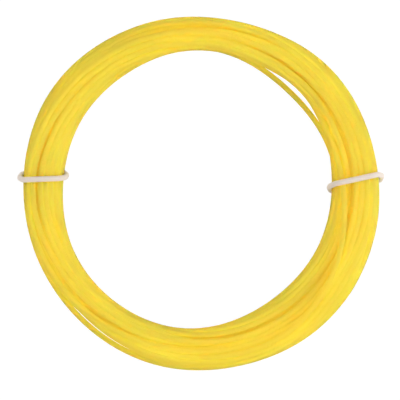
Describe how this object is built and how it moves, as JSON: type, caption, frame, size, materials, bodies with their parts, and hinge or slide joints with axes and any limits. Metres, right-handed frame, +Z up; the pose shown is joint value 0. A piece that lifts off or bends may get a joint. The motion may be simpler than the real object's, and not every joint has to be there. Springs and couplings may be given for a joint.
{
  "type": "coil of racket string",
  "caption": "Round coil of smooth tennis racket string, wound loosely into a thick bundle and held by plastic-coated wire ties with twisted ends.",
  "frame": {"origin": "on the surface that the coil lies on, under the middle of its overall box", "axes": "+Z up along the coil's axis, +X through the right tie, +Y across, so that the coil lies flat"},
  "size_m": [0.0868, 0.0834, 0.0135],
  "materials": {
    "string": "smooth extruded polyester, glossy, bright yellow",
    "tie_coating": "soft extruded vinyl, satin, off-white",
    "tie_wire": "bare soft steel wire, seen only at the cut ends"
  },
  "bodies": {
    "root": {"string_coil": "string", "string_core": "string", "left_tie_coating": "tie_coating", "left_tie_wire": "tie_wire", "right_tie_coating": "tie_coating", "right_tie_wire": "tie_wire"}
  },
  "joints": []
}
